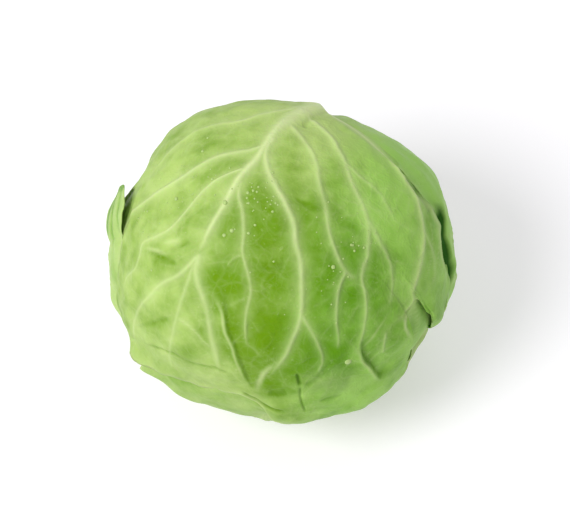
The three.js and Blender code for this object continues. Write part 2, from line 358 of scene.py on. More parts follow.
# What a relief notes of each vertex for the finish: ribs' pale flesh, painted shade in creases,
# pleat feet and the slit, deeper or paler green (partly painted light and shade), the pale free
# edge, and bluer green
NOTES = ("vein", "crease_shade", "deep", "rim", "cool")


def blank_notes(out):
    return {key: np.zeros(len(out)) for key in NOTES}


def join_notes(parts):
    return {key: np.concatenate([part[key] for part in parts]) for key in NOTES}


def grow_blade(bm, pole, outline, depth, relief, across, ripple, seed):
    """One thin leaf blade on the head, added to bm: a fine outer face, a plainer inner one and
    the edge between them. Returns what the relief says of each vertex, for its finish."""
    faces, notes = [], []
    ring = edge_ring(pole, outline, 4 * across, ripple, seed)
    for count, inner in ((across, False), (across // 3, True)):
        made = bmesh.ops.create_grid(bm, x_segments=count, y_segments=count, size=1)["verts"]
        out, margin = spread_points(made, pole, ring)
        form, ribs, note = relief(out, margin)
        radius = head_radius(out, depth) + form
        thin = MARGIN + (BLADE - MARGIN) * step(margin, 0, THINNING)
        radius = (above_table(out, radius - thin, depth + thin) if inner
                  else above_table(out, radius + ribs, depth))
        spots = CENTRE + out * radius[:, None]
        spots[:, 2] = np.maximum(spots[:, 2], BLADE * 0.5 if inner else 0.02)
        for vert, spot in zip(made, spots):
            vert.co = spot
        faces.append({face for vert in made for face in vert.link_faces})
        notes.append(note)
    bmesh.ops.reverse_faces(bm, faces=list(faces[1]))
    edges = [edge for edge in bm.edges if edge.is_boundary]
    bmesh.ops.bridge_loops(bm, edges=edges)
    return join_notes(notes)


def leaf_mesh(name, bm, notes):
    """The blades in bm as a mesh, with what the finish needs on its vertices."""
    mesh = mesh_from(name, bm)
    for key, values in notes.items():
        layer = mesh.attributes.new(key, "FLOAT", "POINT")
        layer.data.foreach_set("value", values.astype(np.float32))
    return mesh


def keep_larger(kept, near, values):
    kept[near] = np.maximum(kept[near], values)


def raise_ribs(out, ribs, notes):
    """Height of ribs (places, half-widths, heights at both ends) over the blade; notes their
    pale flesh."""
    height = np.zeros(len(out))
    for places, wide, high in ribs:
        near, side, along = beside(out, places, 3 * max(wide) + 3)
        width = wide[0] + (wide[1] - wide[0]) * along
        rise = high[0] + (high[1] - high[0]) * along
        fade = step(along, 1, 0.86)
        core = bell(side / (0.75 * width))
        halo = bell(np.maximum(np.abs(side) - 0.5 * width, 0) / (1.5 + 1.4 * width.clip(0, 2)))
        ridge = bell(side / (0.95 * width))
        keep_larger(height, near, rise.clip(0.05, None) * fade * ridge)
        pale = fade * (0.62 * core + 0.38 * halo) * np.clip(0.2 + 0.62 * rise, 0, 1)
        keep_larger(notes["vein"], near, pale)
    return height


def feather(start, end, pairs, reach, seed):
    """A midrib with forked side ribs in pairs, for a leaf that lies underneath."""
    rng = np.random.default_rng(seed)
    start, end = np.array(start, float), np.array(end, float)
    middle = (start + end) / 2 + rng.normal(0, 1, 2)
    ribs = [([start, middle, end], (10, 1.5), (4.2, 0.8))]
    for pair in range(2 * pairs):
        share = 0.16 + 0.76 * pair / (2 * pairs)
        side = 1 if pair % 2 else -1
        foot = start + (end - start) * share
        length = (1 - 0.45 * share) * rng.uniform(0.9, 1.1)
        bend = foot + (10 + rng.normal(0, 1.5), side * reach * 0.4 * length)
        tip = foot + (22 + rng.normal(0, 3), side * reach * length)
        wide = 2.4 - 1.2 * share
        ribs.append(([foot, bend, tip], (wide, 0.8), (1.3 - 0.5 * share, 0.3)))
        for fork in (0.45, 0.75):
            split = bend + (tip - bend) * fork
            ribs.append(([bend + (tip - bend) * (fork - 0.3), split + (4, side * 3),
                          split + (13 + rng.normal(0, 2), side * reach * 0.25)],
                         (1.1, 0.6), (0.5, 0.15)))
    return ribs


# The leaves' finish: waxy green, paler over ribs and free edges, with a net of fine veins,
# and with painted shade laid dark green into creases, pleat feet and the slit
# Painted shade: the dark green laid into creases, pleat feet and the slit
CREASE_SHADE_GREEN = (0.014, 0.085, 0.001, 1)
BLUER = (0.76, 1.01, 0.62)  # what the "cool" note multiplies the green by
DEEPEST = 1.4  # "deep" notes run from minus this to this
NETS = [(95, 0.13), (230, 0.16)]  # scale and line width of the two nets of veins


def leaf_finish(name, light, deep, vein, seed):
    leaf, start = new_material(name)
    place = start.node("ShaderNodeTexCoord", {}, {}, 3)
    noted = {key: start.node("ShaderNodeAttribute", {"attribute_name": key}, {}, 2)
             for key in NOTES}
    shift = place.vector("ADD", (seed, 0, 0))
    cloud = shift.noise(38, 4)
    fleck = shift.noise(420, 3)
    pucker = shift.noise(120, 3)
    bent = shift.noise(90, 2, 1).vector("MULTIPLY_ADD", (0.01, 0.01, 0.01), shift)
    nets = [start.node("ShaderNodeTexVoronoi", {"feature": "DISTANCE_TO_EDGE"},
                       {"Vector": bent, "Scale": scale}).between(width, 0)
            for scale, width in NETS]
    net = nets[0] * 0.6 + nets[1] * 0.4
    depth = noted["deep"] + (cloud - 0.5) * 1.3 + (pucker - 0.5) * 1.8 + (fleck - 0.5) * 0.35
    colour = depth.between(-DEEPEST, DEEPEST).mix(light, deep)
    colour = noted["cool"].mix(colour, colour.vector("MULTIPLY", BLUER))
    colour = (net * cloud.between(0.3, 0.65) * 0.12).mix(colour, vein)
    colour = (fleck.between(0.6, 0.76) * 0.14).mix(colour, vein)
    colour = (noted["vein"] * (pucker * 0.6 + 0.65)).mix(colour, vein)
    colour = (noted["rim"] * 0.5).mix(colour, vein)
    # Painted shade: creases, pleat feet and the slit are darkened to the shade green
    colour = noted["crease_shade"].mix(colour, CREASE_SHADE_GREEN)
    height = noted["vein"] * 0.4 + net * 0.25 + fleck * 0.2 + pucker * 1.4
    bump = start.node("ShaderNodeBump", {}, {
        "Strength": 0.46, "Distance": 0.001, "Height": height})
    finish_surface(start, colour, noted["crease_shade"] * 0.5 + fleck * 0.12 + 0.42, {
        "Normal": bump, "Specular IOR Level": 0.1, "Subsurface Weight": 0.15,
        "Subsurface Radius": (0.5, 1.0, 0.2), "Subsurface Scale": 0.003})
    return leaf


def waves(points, length, seed, count=26):
    """Smooth seeded noise of about unit height over points in mm, with waves of that length."""
    rng = np.random.default_rng(seed)
    total = np.zeros(len(points))
    for _ in range(count):
        heading = rng.normal(size=3)
        heading *= rng.uniform(0.65, 1.45) * 2 * math.pi / (length * np.linalg.norm(heading))
        total += np.sin(points @ heading + rng.uniform(0, 2 * math.pi))
    return total * math.sqrt(2 / count)


heart_leaf = leaf_finish("heart_leaf", light=(0.28, 0.51, 0.10, 1), deep=(0.14, 0.34, 0.02, 1),
                         vein=(0.45, 0.64, 0.20, 1), seed=0.31)
HEART_LEAVES = [  # middle, outline
    ((95, 60), [(16, 40), (50, 0), (95, -10), (135, 10), (158, 60), (140, 110), (95, 125),
                (50, 120), (16, 90)]),
    ((95, -70), [(16, -100), (50, -130), (95, -135), (140, -120), (160, -70), (135, -22),
                 (95, -14), (50, -20), (16, -50)]),
]
CORE_DEPTH = 6.5
TEAR = (121, 76)  # where the front leaf is torn open


def corner_swell(out):
    """How far the inner leaves bulge, in mm, in the tear and at its outer corner."""
    return 3.4 * hump(out, (112, 97), 5) + 1.6 * hump(out, (121, 80), 8)


def heart_relief(seed, ribs):
    def relief(out, margin):
        notes = blank_notes(out)
        rise = raise_ribs(out, ribs, notes)
        form = 0.4 * waves(out * HALF[2], 30, seed) - 1.8 * step(degrees_from(out, TEAR), 14, 24)
        form += corner_swell(out) + 1.9 * hump(out, (124, 105), 6)
        notes["deep"] += 0.3 * waves(out * HALF[2], 24, seed + 1) - 0.6
        notes["rim"] += 0.3 * np.exp(-margin / 2)
        return form, 0.7 * rise, notes
    return relief


heart_bm = bmesh.new()
heart_notes = []
for index, (pole, outline) in enumerate(HEART_LEAVES):
    leaf_bm = bmesh.new()
    ribs = feather((16, pole[1]), (140, pole[1] * 1.1), pairs=5, reach=40, seed=40 + index)
    ribs.append(([(118, 58), (122, 72), (128, 90)], (1.3, 0.8), (1.0, 0.5)))
    relief = heart_relief(50 + index, ribs)
    heart_notes.append(grow_blade(leaf_bm, pole, outline, 2 * PITCH, relief, across=84, ripple=0.8,
                                  seed=60 + index))
    part = bpy.data.meshes.new("heart_part")
    leaf_bm.to_mesh(part)
    leaf_bm.free()
    heart_bm.from_mesh(part)
    bpy.data.meshes.remove(part)
core = bmesh.ops.create_icosphere(heart_bm, subdivisions=6, radius=1)["verts"]
core_out = np.array([vert.co.normalized()[:] for vert in core])
core_radius = above_table(core_out, head_radius(core_out, CORE_DEPTH)
                          + 0.3 * waves(core_out * HALF[2], 22, 71), CORE_DEPTH)
for vert, spot in zip(core, CENTRE + core_out * core_radius[:, None]):
    vert.co = spot
heart_notes.append(blank_notes(core_out))
heart_mesh = leaf_mesh("heart_leaves", heart_bm, join_notes(heart_notes))
new_piece("heart_leaves", heart_mesh, heart_leaf, "heart")

# --------------------------------------------------------
# Under leaf: the innermost of four wrapper leaves, a thin waxy blade that grows from the stem and
# lies on the heart round the underside and right. The outlines of all four wrapper leaves come
# first, because each is flatter where the next ones cover it.
# --------------------------------------------------------
LEAVES = {  # innermost first: middle, depth, outline
    "leaf_under": ((105, 160), PITCH, [
        (10.8, 140), (13, 132), (24, 112), (40, 98), (60, 94), (80, 96), (98, 102), (114, 106),
        (128, 102), (139, 88), (148, 64), (155, 30), (156, -10), (150, -42), (142, -62),
        (134, -78), (128, -92), (124, -106), (118, -122), (108, -138), (95, -150), (78, -160),
        (60, -166), (42, -170), (26, -176), (13, -180)]),
    "leaf_front": ((95, 0), 0, [
        (10.8, 24), (13, -5), (24, -40), (38, -68), (55, -88), (75, -100), (95, -108), (106, -110),
        (113, -106), (118, -102), (121, -100.5), (124, -100.5), (127, -100), (132, -99),
        (140, -96), (147, -96), (156, -93), (162, -88), (166, -84), (169, -89), (172, -113),
        (171, -143), (167, -163), (162, -175), (157, 174), (153, 159), (150, 146), (145, 135),
        (140, 126), (136, 120), (132, 116), (129.5, 112), (128.6, 106), (128.2, 99), (127.6, 92),
        (127.4, 86), (127.3, 80), (127.2, 75), (127.4, 71), (127, 67), (126.5, 63.5),
        (125.2, 61.2), (122.5, 61.3), (119.6, 62), (118.5, 65), (118.7, 70), (119, 73.5),
        (118.1, 77), (118.6, 83), (117.4, 90), (114.5, 97), (107.5, 104), (98, 108), (85, 110),
        (68, 108), (50, 100), (34, 88), (20, 70), (13, 50)]),
    "leaf_left": ((75, -128), -PITCH, [
        (10.8, -110), (13, -150), (26, -180), (42, -195), (60, -202), (78, -203), (95, -200),
        (110, -192), (122, -180), (128, -165), (130, -148), (126, -132), (119, -119), (114, -108),
        (110, -100), (107, -92), (104, -83), (102, -77), (99, -73), (96, -70), (94, -67.5),
        (92.3, -65.5), (90.5, -62.5), (87, -60.8), (83, -59.5), (79, -60.3), (76.8, -63.5),
        (75.5, -68), (73.8, -75), (72.5, -82), (66, -86), (54, -81), (40, -74), (28, -67),
        (13, -72)]),
    "leaf_right": ((75, 120), OUTERMOST, [
        (10.8, 115), (13, 75), (24, 45), (40, 25), (52, 22), (62, 27), (70, 34), (76, 41.5),
        (79, 46), (81.5, 49.5), (83.5, 53), (84.5, 57.5), (85, 62), (85.8, 67.5), (88.5, 71),
        (94.5, 70.5), (97.4, 75), (98.2, 83), (99.6, 91), (103.5, 97), (107, 102), (108, 106),
        (104, 112), (101, 122), (105, 135), (113, 148), (119, 162), (118, 176), (110, 190),
        (98, 200), (82, 206), (64, 209), (46, 207), (32, 198), (20, 180), (13, 150)]),
}
SETTLED = 0.8  # how far a leaf is pressed in under another, mm


def degrees_inside(out, pole, outline):
    """How many degrees points lie inside a leaf's outline, along the line to its middle."""
    _, east, north = polar_frame(pole)
    line = smooth_line(outline, closed=True)
    bearing = np.degrees(np.arctan2(line @ east, line @ north))
    off = degrees_from(line, pole)
    order = np.argsort(bearing)
    reach = np.interp(np.degrees(np.arctan2(out @ east, out @ north)), bearing[order], off[order],
                      period=360)
    return reach - degrees_from(out, pole)


def covered(out, name):
    """0 where a leaf lies free, 1 under the leaves outside it."""
    names = list(LEAVES)
    hidden = np.zeros(len(out))
    for outer in names[names.index(name) + 1:]:
        pole, _, outline = LEAVES[outer]
        hidden = np.maximum(hidden, step(degrees_inside(out, pole, outline), -3, 0.5))
    return hidden


def lie_down(out, name, margin, reach=9):
    """How far a leaf's free edge sinks, in mm, to lie on whatever is beneath it."""
    names = list(LEAVES)
    below = np.full(len(out), 2 * PITCH)
    for inner in names[:names.index(name)]:
        pole, depth, outline = LEAVES[inner]
        below += (depth + SETTLED - below) * step(degrees_inside(out, pole, outline), -3, 2)
    return (below - LEAVES[name][1] - MARGIN - 0.1) * bell(margin / reach)


def wrap_leaf(name, node, relief, across, ripple, seed, finish):
    """One of LEAVES as a finished piece that stands for its CAD node; returns its mesh."""
    pole, depth, outline = LEAVES[node]
    bm = bmesh.new()
    notes = grow_blade(bm, pole, outline, depth, relief, across, ripple, seed)
    mesh = leaf_mesh(name, bm, notes)
    new_piece(name, mesh, finish, node)
    return mesh


def under_relief(out, margin):
    notes = blank_notes(out)
    flat = out * HALF[2]
    free = 1 - covered(out, "leaf_under")
    rise = raise_ribs(out, feather((11.6, 160), (150, 172), pairs=7, reach=40, seed=11), notes)
    form = (0.4 * waves(flat, 34, 12) + 0.2 * waves(flat, 13, 13)) * free
    form += 0.3 * np.exp(-margin / 6) * waves(flat, 15, 14) * free
    form += corner_swell(out) - lie_down(out, "leaf_under", margin) - SETTLED * (1 - free)
    notes["deep"] += 0.25 * waves(flat, 30, 15)
    notes["rim"] += np.exp(-margin / 1.6)
    return form, rise * free, notes


under_leaf = leaf_finish("under_leaf", light=(0.42, 0.57, 0.175, 1), deep=(0.17, 0.33, 0.03, 1),
                         vein=(0.56, 0.68, 0.28, 1), seed=0.17)
wrap_leaf("under_leaf_blade", "leaf_under", under_relief, across=250, ripple=0.5, seed=16,
          finish=under_leaf)

# --------------------------------------------------------
# Front leaf: the big wrapper leaf over the front and top, fixed at the stem by its thick midrib.
# It is puckered between its ribs, creased and pleated at its tip, and torn at its right edge.
# --------------------------------------------------------
# Ribs: places, half-widths at both ends, heights at both ends
FRONT_RIBS = [
    # midrib, and the two ribs it splits into
    ([(11, 24), (35, 22), (50, 17), (56, 11), (61, 6), (66, 2), (72, -2), (78, -5)], (10.0, 1.5),
     (3.4, 1.5)),
    ([(56, 11), (61, 6), (66, 2), (72, -2), (78, -5), (84, -8), (89, -12), (95, -16), (100, -19),
      (105, -23), (110, -27), (117, -34)], (3.0, 1.4), (1.6, 1.0)),
    ([(115, -31), (119, -34), (128, -35), (134, -36), (140, -40), (148, -47), (155, -60)],
     (2.0, 1.8), (0.7, 0.5)),
    ([(115, -32), (118, -41), (118, -50), (119, -59), (119, -69), (120, -82), (121, -95)],
     (1.5, 1.0), (0.75, 0.3)),
    ([(117, -34), (123, -41), (128, -48), (131, -54), (134, -62), (136, -72), (138, -84),
      (139, -93)], (1.2, 0.9), (0.5, 0.25)),
    ([(131, -51), (136, -48), (141, -47), (145, -45)], (0.9, 0.7), (0.5, 0.3)),
    # left side ribs, from the top down
    ([(52, 8), (56, 3), (61, -7), (65, -16), (65, -22), (66, -30), (70, -40), (74, -46),
      (79, -52)], (1.4, 0.8), (0.75, 0.35)),
    ([(77, -3), (80, -8), (81, -14), (82, -22), (84.9, -31.2), (86.7, -37.9), (87.8, -44.8),
      (88.9, -51.8), (88.9, -58.7), (92.3, -67.4), (97.5, -70.4), (103, -76)], (1.4, 1.0),
     (0.95, 0.6)),
    ([(88, -13), (91, -22), (93.7, -26.6), (98.8, -32.8), (102.8, -40), (103.2, -46.4),
      (102.8, -52.5), (106.3, -57.6), (108.3, -60.4), (107.8, -69.9), (113, -78)], (0.8, 0.7),
     (0.9, 0.45)),
    # right side ribs, from the midrib outwards
    ([(76, -3), (80, -5), (86, -5), (93, -3), (101, 1), (108, 4), (114, 5), (120, 7), (127, 8),
      (134, 9), (140, 9), (148, 6), (154, 2), (160, -8), (166, -28)], (1.9, 1.3), (1.15, 0.5)),
    ([(137, 9), (142, 15), (148, 24), (153, 32), (159, 37)], (1.1, 0.7), (0.6, 0.3)),
    ([(88, -12), (97, -14), (103, -13), (110, -13), (116, -14), (123, -13), (129, -13), (136, -17),
      (144, -21), (151, -24)], (1.3, 0.9), (0.7, 0.35)),
    ([(117, -14), (118, -18), (120, -21)], (0.8, 0.6), (0.35, 0.2)),
    ([(62, 2), (68, 3), (72, 5), (78, 8), (86, 11), (93, 12), (100, 14), (109, 16), (116, 20),
      (121, 25), (122, 29), (121, 32)], (1.5, 1.1), (0.8, 0.5)),
    ([(121, 25), (126, 24), (132, 25), (138, 28), (143, 33), (148, 38)], (1.2, 0.8), (0.7, 0.3)),
    ([(53, 9), (60, 10), (66, 13), (73, 17), (79, 19), (84, 21), (91, 23), (98, 27), (104, 30),
      (109, 31), (114, 32), (121, 32), (126, 36), (131, 40), (137, 44), (143, 49), (149, 57)],
     (1.5, 0.9), (0.95, 0.4)),
    ([(84, 21), (88, 26), (92, 33), (96, 37), (101, 41)], (0.9, 0.6), (0.45, 0.2)),
    ([(103, 30), (108, 35), (112, 40), (116, 44), (122, 48), (128, 50)], (1.2, 0.8), (0.6, 0.3)),
    ([(48, 20), (57, 27), (68, 34), (75, 39), (82, 44), (87, 48), (92, 51), (99, 54), (109, 56),
      (117, 58), (122, 61)], (1.5, 1.2), (1.2, 0.9)),
    ([(117, 58), (122, 62), (126, 61), (129, 57)], (1.0, 0.7), (0.5, 0.3)),
    ([(98, 54), (102, 61), (107, 66), (111, 68)], (0.9, 0.6), (0.4, 0.2)),
    ([(135, 58), (138, 63), (140, 69)], (1.0, 0.7), (0.5, 0.3)),
]
# Faint pale streaks that barely stand up: places, half-width, paleness; the last two are painted
# highlights on lit facets of the crumpled left part
FRONT_STREAKS = [
    ([(154, 2), (157, -6), (161, -18), (166, -34)], 0.9, 0.3),
    ([(157, -3), (159, -11), (162, -21), (166, -36), (170, -58)], 1.6, 0.6),
    ([(150, 27), (154, 33), (160, 37)], 1.0, 0.45),
    ([(88, 56), (98, 60), (108, 62), (116, 62)], 0.6, 0.25),
    ([(90, 61), (100, 65), (110, 66)], 0.6, 0.25),
    ([(128, 52), (137, 52), (144, 55)], 0.9, 0.35),
    ([(119, 61), (122.5, 61), (126, 62), (128.4, 65.5), (129.2, 72), (128.5, 80)], 0.9, 0.7),
    ([(118, -100), (136, -84), (152, -62), (164, -20)], 13, 0.22),
    ([(164, 10), (160, 60), (150, 95)], 9, 0.2),
    # Painted highlights: the lit facets of the crumpled left part
    ([(103.5, -54), (107, -48.5), (110.5, -43)], 1.0, 0.5),
    ([(106, -44.5), (107, -40), (107.5, -35.5)], 1.3, 0.5),
]
# Creases: places, depth, half-width, darkness of the shade painted into it
FRONT_CREASES = [
    ([(121, -13), (121.5, -9), (122, -6), (122, -1), (121, 2)], 0.4, 2, 0.4),
    ([(69, 8), (64, 10), (58, 15), (53, 21)], 0.8, 1.6, 0.15),
    ([(100.5, 2), (101, 5), (102, 10), (102, 14)], 0.3, 1.7, 0.35),
    ([(126, -87), (132, -80), (139, -72), (144, -69), (149, -62), (152, -56),
      (157, -50)], 0.5, 0.7, 0.3),
    ([(165, -70), (169, -80), (173, -105), (176, -137), (176, 160)], 1.0, 1.0, 0.42),
    ([(162, 16), (163, 19), (165, 23), (167, 30)], 1.2, 0.7, 0.75),
    ([(168, 32), (170, 40), (172, 53), (173, 85), (169, 130)], 0.8, 0.5, 0.3),
    ([(167, 34), (163, 41), (159, 42), (154, 40), (151, 42)], 0.5, 1.6, 0.3),
    ([(167, 87), (164, 89), (161, 90), (158, 92)], 0.3, 0.9, 0.2),
    ([(171, -32), (173, -12), (172, 12)], 0.3, 2.4, 0.5),
    ([(81, 45), (84.4, 48.5), (86.6, 51.4), (88, 55), (89.5, 59)], 0.7, 1.8, 0.4),
    ([(121.3, -81.9), (125.5, -70.1), (129, -56.1)], 0.5, 1.2, 0.13),
    ([(106.4, -51.7), (109.3, -47.8), (112, -44.4), (114.5, -41)], 0.8, 1.2, 0.16),
    ([(109.1, -42.7), (109.5, -37.3), (109.5, -32.3)], 0.8, 1, 0.12),
    ([(98, -24), (101, -30), (104, -37), (105, -45)], 0.4, 1.0, 0.06),
]
# Pleats: places, drop on the left of the run, how far it takes to recover, darkness of the shade
# painted at its foot, width
FRONT_PLEATS = [
    ([(120, -26.5), (126, -27), (131, -27), (136, -28), (141, -30), (147, -31), (152, -34),
      (158, -38), (163, -44), (169, -55)], 1.1, 12, 0.38, 1.3),
    ([(140, 44), (143, 50), (146, 60), (146, 71), (145, 85), (143, 92)], 2.2, 9, 0.3, 1.2),
    ([(76, 42), (79, 46), (82, 49), (84, 51), (85, 54), (85.5, 58), (87, 64), (89, 68),
      (94.5, 67.5), (97.5, 70.5), (99, 74), (99.3, 82), (99, 92)], 3.2, 14, 0.95, 3.5),
]
# Where its free edge stands off: places, height, reach in degrees (the tear's lip, corner, tip)
FRONT_LIFTS = [
    ([(118.5, 75), (117, 84), (114.5, 91), (112, 97)], 2.6, 5),
    ([(119, -101), (123, -100), (127, -100), (133, -99)], 2.6, 5),
    ([(169, -160), (164, 176)], 2.8, 8),
]
TEAR_END = (121, 63)  # the inner end of the tear, which stays raised
# Deeper (or, below 0, paler) green, partly the leaf's own tone and partly painted light and
# shade where the head is lit more or less: place, reach in degrees, amount
FRONT_TONE_AND_LIGHT_PATCHES = [
    ((108, -10), 13, 0.9), ((128, -20), 11, 0.6), ((138, -8), 13, 0.5), ((152, -14), 11, 1.1),
    ((153, 6), 9, 0.9), ((150, 28), 10, 0.6), ((141, 29), 5, 0.6), ((150, 37), 7, 0.6),
    ((142, -24), 6, 0.3), ((150, -32), 6, 0.7), ((130, 30), 14, 0.25), ((115, 24), 10, 0.3),
    ((127, 45), 8, 0.2), ((168, -20), 6, 0.5), ((97, 9), 9, 0.3), ((103, 20), 7, 0.3),
    ((99, 58), 9, 0.2), ((133, 60), 8, 0.3), ((113, -44), 6, 0.3), ((106, -60), 9, -0.2),
    ((92, -38), 12, -0.1), ((133, -84), 9, -0.3), ((125, -81), 4, -0.5), ((148, 98), 10, -0.3),
    ((136, -30), 3, -0.5), ((112, 2), 20, 0.2), ((83, -23), 9, 0.4), ((102, -14), 6, 0.3),
    ((131, -31), 5, 0.6), ((136, -90), 14, 0.45), ((144, -55), 9, 0.5), ((97, 36), 8, -0.9),
    ((72, 24), 14, -0.9), ((80, 40), 10, -0.6), ((106, 30), 9, -0.5), ((118, 56), 7, -0.5),
    ((55, 42), 12, -0.5), ((163, 6), 8, 0.3), ((118, 18), 26, 0.5), ((122, 38), 14, 0.3),
    ((92, -42), 22, -0.4), ((60, 0), 15, -0.8), ((158, 56), 8, 0.6), ((170, -30), 8, 0.4),
    ((107.6, -41), 3.5, -0.5), ((112, -48), 4, 0.4), ((125, -30), 4, 0.8), ((132, -32), 4, 0.8),
    ((92, 12), 26, 0.1), ((102, -52), 24, 0.3), ((95, 40), 22, -0.3), ((100, 20), 10, -0.3),
]
LEAF_SIDE = (108, 85)  # the right of the head, where the green is bluer
FINE_VEIN = (0.7, 0.5), (0.0, -0.15)  # half-widths and heights at its two ends, mm


def side_veins(ribs, every, length, seed):
    """Fine veins that branch off ribs on both sides, every so many mm, as faint ribs."""
    rng = np.random.default_rng(seed)
    fine = []
    for places, wide, high in ribs:
        line = smooth_line(places)
        runs = np.diff(line, axis=0)
        walked = np.cumsum(np.linalg.norm(runs, axis=1)) * HALF[2]
        for index, foot in enumerate(np.arange(every, walked[-1], every)):
            foot += rng.uniform(-0.3, 0.3) * every
            at = min(int(np.searchsorted(walked, foot)), len(runs) - 1)
            run = runs[at] / np.linalg.norm(runs[at])
            aside = np.cross(line[at], run) * (1 if index % 2 else -1)
            reach = length * rng.uniform(0.6, 1.3) / HALF[2]
            path = line[at] + reach * np.array([0 * run, 0.35 * run + 0.35 * aside,
                                                rng.uniform(0.7, 1) * run + 0.8 * aside])
            path /= np.linalg.norm(path, axis=1, keepdims=True)
            path = np.stack([np.arccos(path[:, 1]), np.arctan2(path[:, 0], path[:, 2])], 1)
            fine.append((np.degrees(path), *FINE_VEIN))
    return fine


def coolness(out):
    """The leaves turn a bluer green towards the right of the head."""
    return 0.95 * step(degrees_from(out, LEAF_SIDE), 84, 50)


def lift_along(out, places, height, reach):
    """A free edge standing off the head: height in mm near a line of places, reach in degrees."""
    lift = np.zeros(len(out))
    wide = reach * HALF[2] * math.pi / 180
    near, side, _ = beside(out, places, 2.6 * wide)
    lift[near] = height * bell(side / wide)
    return lift


def front_relief(out, margin):
    notes = blank_notes(out)
    flat = out * HALF[2]
    free = 1 - covered(out, "leaf_front")
    veins = side_veins(FRONT_RIBS, every=9, length=13, seed=28)
    rise = 0.75 * raise_ribs(out, FRONT_RIBS + veins, notes)
    for places, wide, pale in FRONT_STREAKS:
        near, side, along = beside(out, places, 4 * wide)
        fade = np.sin(np.pi * np.clip(along, 0, 1))
        keep_larger(notes["vein"], near, pale * fade * bell(side / wide))
    form = 0.35 * waves(flat, 42, 21) + 0.22 * waves(flat, 17, 22) * step(notes["vein"], 0.5, 0.0)
    form += 0.08 * waves(flat, 8, 23) + 0.2 * hump(out, (108, -62), 34) * waves(flat, 11, 29)
    form += 0.4 * np.exp(-margin / 7) * waves(flat, 16, 24)
    form = form * free - SETTLED * (1 - free)
    form -= lie_down(out, "leaf_front", margin) * (1 - 0.95 * hump(out, TEAR_END, 10))
    form -= 1.3 * hump(out, (101.5, 80), 5)
    for places, height, reach in FRONT_LIFTS:
        form += lift_along(out, places, height, reach)
    for places, drop, recover, shade_darkness, wide in FRONT_PLEATS:
        near, side, along = beside(out, places, 3 * recover)
        fade = step(along, 0.03, 0.3) * step(along, 1, 0.8)
        wide = wide * (1 + 2 * step(along, 0.32, 0.1))
        below = np.maximum(side, 0)
        form[near] -= drop * fade * step(side, -0.4 * wide, 0.9 * wide) * np.exp(-below / recover)
        form[near] += 0.25 * drop * fade * bell((side + wide) / (1.6 * wide))
        # Painted shade: the pleat's low foot is painted dark and a deeper olive green
        foot = shade_darkness ** 2 * fade * bell((side - 0.6 * wide) / (0.9 * wide))
        keep_larger(notes["crease_shade"], near, foot)
        notes["deep"][near] += 4 * shade_darkness * fade * step(side, -0.5, 0.5) * np.exp(-below / 4)
        # Painted highlight: a pale strip along the pleat's raised crest
        crest_highlight = np.sin(np.pi * np.clip(along, 0, 1)) * bell((side + wide) / (0.7 * wide))
        keep_larger(notes["vein"], near, 0.5 * fade * crest_highlight)
    for places, depth, wide, shade_darkness in FRONT_CREASES:
        near, side, along = beside(out, places, 4 * wide)
        fade = step(along, 0, 0.12) * step(along, 1, 0.88)
        dip = fade * bell(side / wide)
        form[near] -= depth * dip * free[near]
        # Painted shade: each crease is painted dark and a deeper green along its dip
        keep_larger(notes["crease_shade"], near, shade_darkness ** 3 * dip)
        notes["deep"][near] += 3.5 * shade_darkness * dip
    # Partly painted light and shade: broad deeper and paler patches
    for place, reach, amount in FRONT_TONE_AND_LIGHT_PATCHES:
        notes["deep"] += 1.25 * amount * hump(out, place, reach)
    notes["deep"] += 0.18 * waves(flat, 24, 25) + 0.10 * waves(flat, 9, 27) - 0.25
    notes["cool"] += coolness(out)
    notes["rim"] += 0.9 * np.exp(-margin / 1.4) * (1 - hump(out, (118, 72), 7))
    return form, rise * free, notes


front_leaf = leaf_finish("front_leaf", light=(0.41, 0.565, 0.155, 1), deep=(0.13, 0.27, 0.001, 1),
                         vein=(0.585, 0.69, 0.32, 1), seed=0.0)
FRONT_ACROSS = 288
front_mesh = wrap_leaf("front_leaf_blade", "leaf_front", front_relief, FRONT_ACROSS, ripple=0.35,
                       seed=26, finish=front_leaf)

# --------------------------------------------------------
# Left leaf: an older, deeper green wrapper leaf round the left of the head.
# Its edge has come away and curls outwards beside the front leaf.
# --------------------------------------------------------
LOBE_HINGE = [(60, -70), (68, -80), (78, -87), (86, -84), (90.5, -75), (93.5, -65), (95, -54)]
LOBE_FOLDS = [[(97, -78), (90, -73), (83, -69), (75, -67)],
              [(94, -69), (89, -65.5), (84, -63), (78, -61.5)]]
# Where painted shade runs along the lobe's curled edge
LOBE_ROLL_SHADE = [(86, -76.5), (82, -75), (79, -73), (77.8, -68), (77.8, -63.5), (79.5, -60.5)]
TUCKED_EDGE = [(95, -69), (99, -73), (104, -83), (110, -100), (119, -119)]


